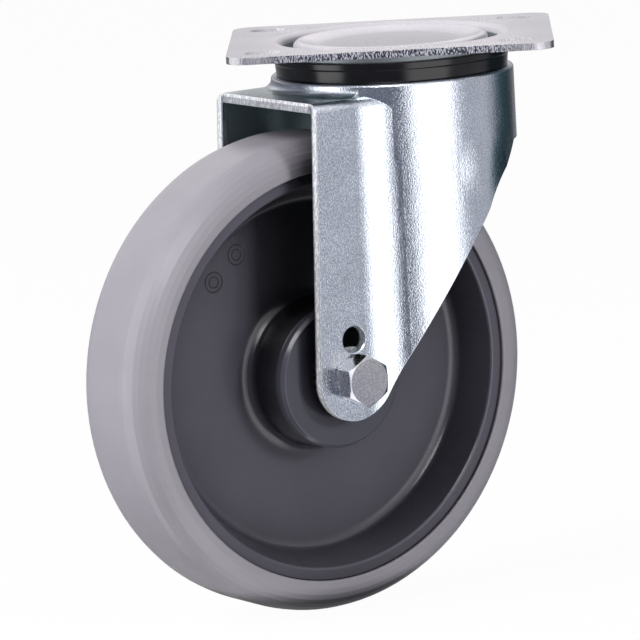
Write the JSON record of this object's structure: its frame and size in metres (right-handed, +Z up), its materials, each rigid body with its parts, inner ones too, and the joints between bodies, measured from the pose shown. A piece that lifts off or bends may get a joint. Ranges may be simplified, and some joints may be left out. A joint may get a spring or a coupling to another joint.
{
  "type": "swivel castor",
  "caption": "Swivel castor with a slotted top plate, a ball race swivel head, a pressed steel fork and a grey elastic-tyred plastic wheel on ball bearings.",
  "frame": {"origin": "the swivel axis at the top plate's mounting face, in the middle of the slot pattern", "axes": "+Z up through the mounting face, X along the plate's long side, Y along its short side; the fork rests swivelled as in the picture, with its trail 216 degrees from +X"},
  "size_m": [0.199, 0.1579, 0.235],
  "materials": {
    "zinc_plate": "bright zinc plating, satin",
    "zinc_fork": "blue zinc plating, fine grain",
    "zinc_fastener": "zinc plating, duller than the fork",
    "race_steel": "hardened steel",
    "bearing_steel": "polished bearing steel",
    "cage_steel": "pressed sheet",
    "seal_black": "glossy black",
    "rim_grey": "dark grey, satin moulded",
    "tyre_grey": "light grey elastic rubber, matte",
    "nylon_insert": "nylon"
  },
  "bodies": {
    "plate_head": {"top_plate": "zinc_plate", "king_pin": "race_steel", "lower_race": "race_steel"},
    "upper_row": {"upper_balls": "bearing_steel"},
    "lower_row": {"lower_balls": "bearing_steel"},
    "fork_head": {"fork": "zinc_fork", "dust_seal": "seal_black", "axle_bolt": "zinc_fastener", "lock_nut": "zinc_fastener", "nut_insert": "nylon_insert", "axle_tube": "race_steel", "bearing_spacer": "race_steel", "near_spacer": "race_steel", "far_spacer": "race_steel", "near_bearing_inner": "bearing_steel", "far_bearing_inner": "bearing_steel"},
    "near_row": {"near_bearing_balls": "bearing_steel", "near_bearing_cage": "cage_steel"},
    "far_row": {"far_bearing_balls": "bearing_steel", "far_bearing_cage": "cage_steel"},
    "wheel": {"rim": "rim_grey", "tyre": "tyre_grey", "near_bearing_outer": "bearing_steel", "near_bearing_shields": "race_steel", "far_bearing_outer": "bearing_steel", "far_bearing_shields": "race_steel", "near_hub_cap": "rim_grey", "far_hub_cap": "rim_grey"}
  },
  "joints": [
    {"name": "swivel", "type": "hinge", "parent": "plate_head", "child": "fork_head", "pos_m": [0, 0, -0.0143], "axis": [0, 0, 1], "continuous": true},
    {"name": "upper_row_orbit", "type": "hinge", "parent": "plate_head", "child": "upper_row", "pos_m": [0, 0, -0.0124], "axis": [0, 0, 1], "continuous": true},
    {"name": "lower_row_orbit", "type": "hinge", "parent": "plate_head", "child": "lower_row", "pos_m": [0, 0, -0.0196], "axis": [0, 0, 1], "continuous": true},
    {"name": "wheel_spin", "type": "hinge", "parent": "fork_head", "child": "wheel", "pos_m": [-0.04223, -0.03068, -0.135], "axis": [0.5878, -0.809, 0], "continuous": true},
    {"name": "near_row_orbit", "type": "hinge", "parent": "fork_head", "child": "near_row", "pos_m": [-0.04223, -0.03068, -0.135], "axis": [0.5878, -0.809, 0], "continuous": true},
    {"name": "far_row_orbit", "type": "hinge", "parent": "fork_head", "child": "far_row", "pos_m": [-0.04223, -0.03068, -0.135], "axis": [0.5878, -0.809, 0], "continuous": true}
  ],
  "couplings": [
    {"joint": "upper_row_orbit", "follows": "swivel", "ratio": 0.5},
    {"joint": "lower_row_orbit", "follows": "swivel", "ratio": 0.5},
    {"joint": "near_row_orbit", "follows": "wheel_spin", "ratio": 0.60242},
    {"joint": "far_row_orbit", "follows": "wheel_spin", "ratio": 0.60242}
  ]
}
